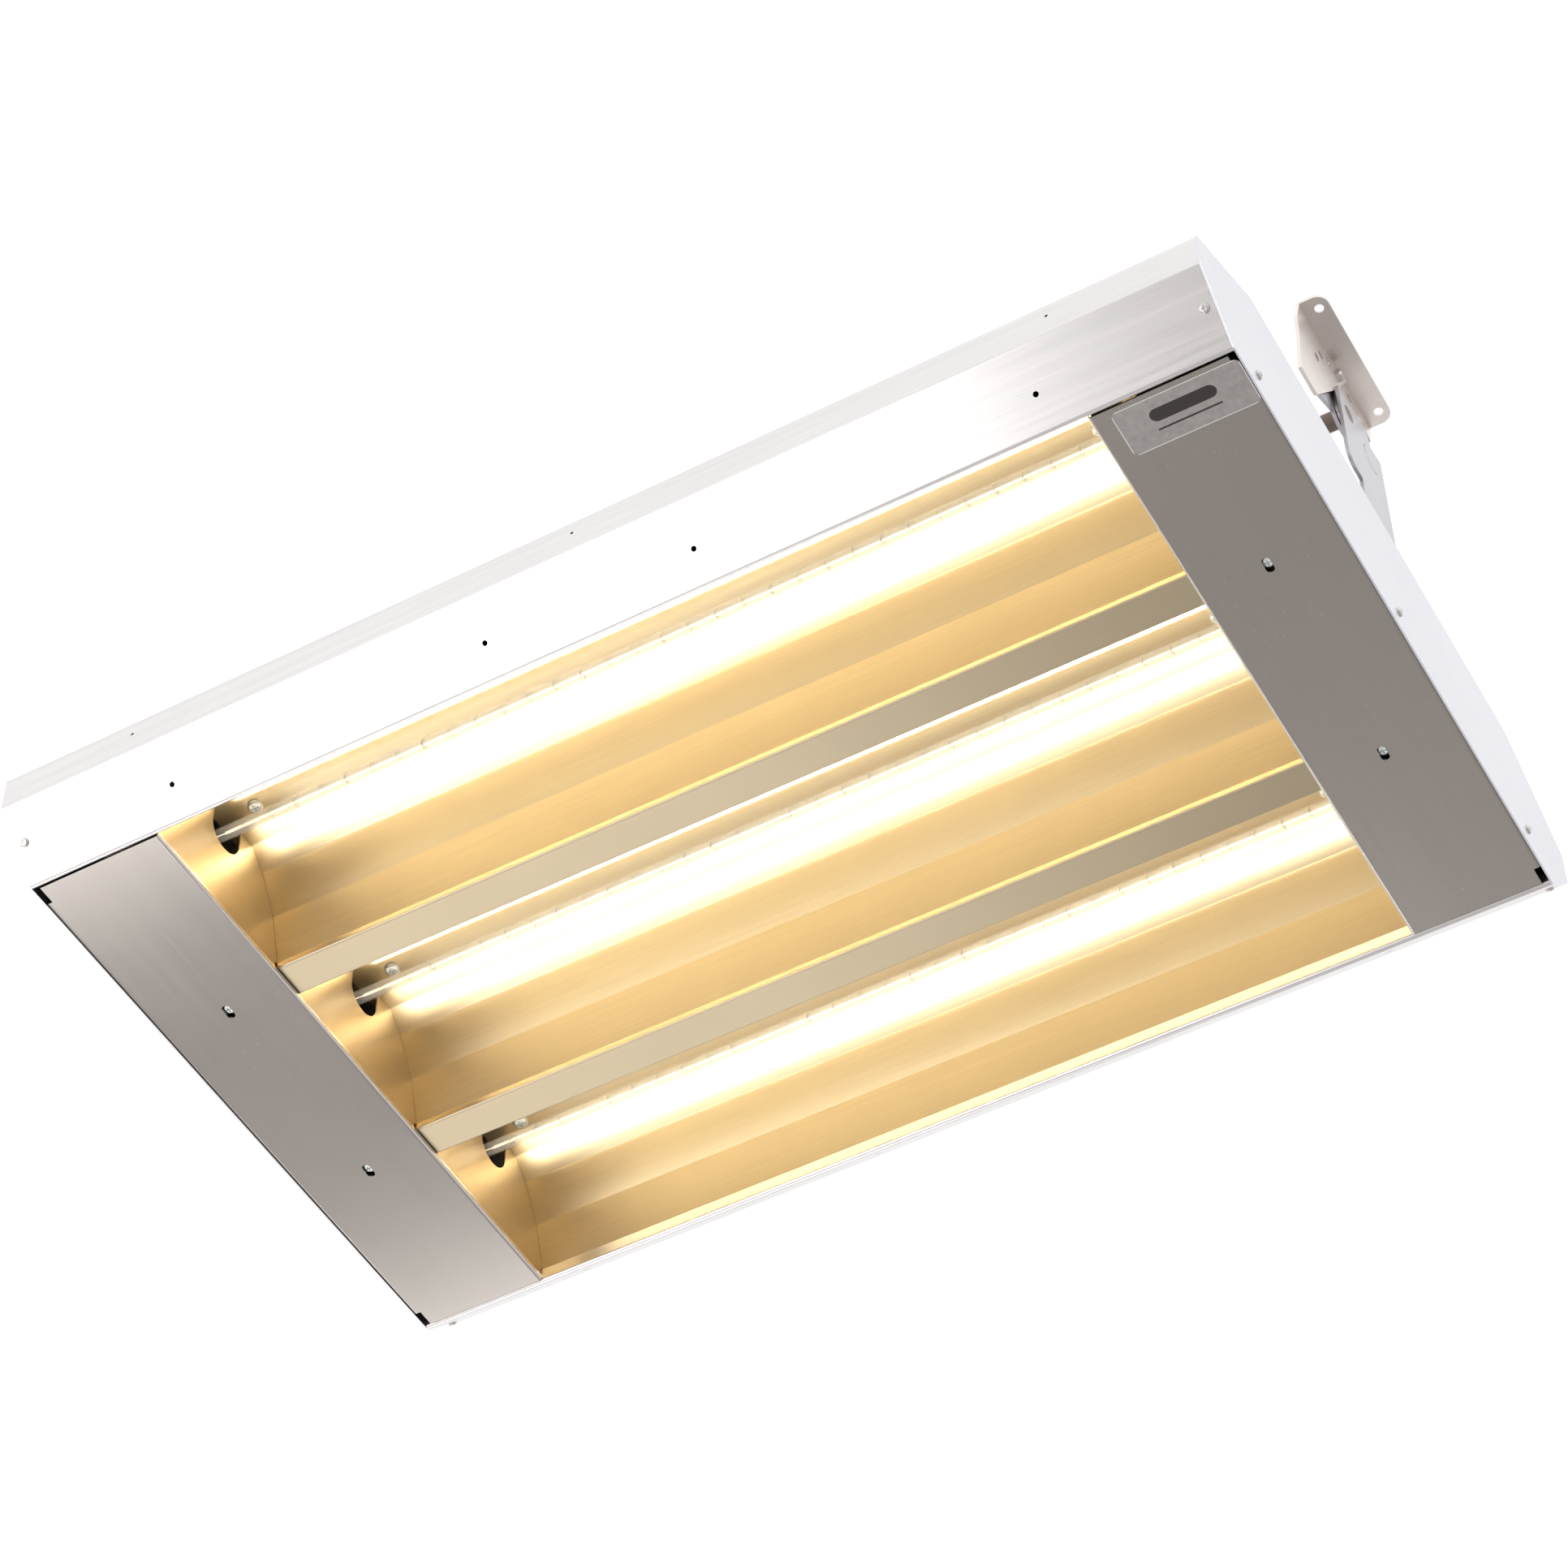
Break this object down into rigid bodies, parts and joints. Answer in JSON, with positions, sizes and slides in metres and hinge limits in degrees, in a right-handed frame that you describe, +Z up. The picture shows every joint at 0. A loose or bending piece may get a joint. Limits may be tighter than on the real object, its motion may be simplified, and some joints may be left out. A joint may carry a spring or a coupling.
{
  "type": "overhead infrared heater",
  "caption": "Overhead quartz lamp infrared heater in a bevelled stainless steel housing, with gold reflector troughs, hung from tilting ceiling brackets.",
  "frame": {"origin": "centre of the four ceiling bolt holes, in the ceiling plane on which the two hanger flanges bear", "axes": "+X along the heater's length towards the end with the supply conduit hub, +Y across it towards the back rail, +Z up to the ceiling"},
  "size_m": [0.874, 0.5614, 0.2947],
  "materials": {
    "stainless": "brushed stainless steel",
    "bracket_steel": "brushed stainless steel",
    "divider_steel": "satin stainless steel",
    "inner_steel": "aluminised steel",
    "gold_reflector": "gold anodised satin aluminium",
    "quartz": "clear quartz",
    "filament": "glowing tungsten",
    "ceramic": "unglazed ceramic",
    "brass": "plain",
    "wire": "braided glass sleeve",
    "label": "blank satin label",
    "rivet": "plain",
    "hub_zinc": "zinc plated",
    "zinc": "zinc plated",
    "fastener": "stainless"
  },
  "bodies": {
    "root": {"hanger_left": "bracket_steel", "hanger_right": "bracket_steel", "lock_bolts": "fastener", "lock_nuts": "fastener"},
    "heater": {"back_rail": "stainless", "front_rail": "stainless", "top_panel": "stainless", "roof_rivets": "rivet", "heat_shield": "inner_steel", "divider_front": "divider_steel", "divider_back": "divider_steel", "end_plate_left": "stainless", "end_plate_right": "stainless", "end_cover_left": "stainless", "end_cover_right": "stainless", "socket_rail_left": "inner_steel", "socket_rail_right": "inner_steel", "cross_brace_left": "inner_steel", "cross_brace_right": "inner_steel", "index_plate_left": "bracket_steel", "index_plate_right": "bracket_steel", "fixture_plate_left": "bracket_steel", "fixture_plate_right": "bracket_steel", "pivot_rod": "fastener", "reflector_front": "gold_reflector", "reflector_middle": "gold_reflector", "reflector_back": "gold_reflector", "lamp_tube_front": "quartz", "lamp_tube_middle": "quartz", "lamp_tube_back": "quartz", "filament_front": "filament", "filament_middle": "filament", "filament_back": "filament", "lamp_bases_front": "ceramic", "lamp_bases_middle": "ceramic", "lamp_bases_back": "ceramic", "lamp_sockets_front": "ceramic", "lamp_sockets_middle": "ceramic", "lamp_sockets_back": "ceramic", "end_reflector_front_left": "gold_reflector", "end_reflector_front_right": "gold_reflector", "end_reflector_middle_left": "gold_reflector", "end_reflector_middle_right": "gold_reflector", "end_reflector_back_left": "gold_reflector", "end_reflector_back_right": "gold_reflector", "socket_contacts": "brass", "terminal_block": "ceramic", "terminal_screws": "brass", "ground_stud": "fastener", "lead_wires_left": "wire", "lead_wires_right": "wire", "conduit_hub": "hub_zinc", "hub_locknut": "hub_zinc", "label_plate": "label", "rail_screws": "fastener", "end_plate_screws": "fastener", "divider_screws": "fastener", "reflector_screws": "zinc", "bracket_screws": "fastener", "pivot_clips": "fastener"}
  },
  "joints": [
    {"name": "tilt", "type": "hinge", "parent": "root", "child": "heater", "pos_m": [0, 0, -0.0595], "axis": [1, 0, 0], "range_deg": [-40, 40]}
  ]
}
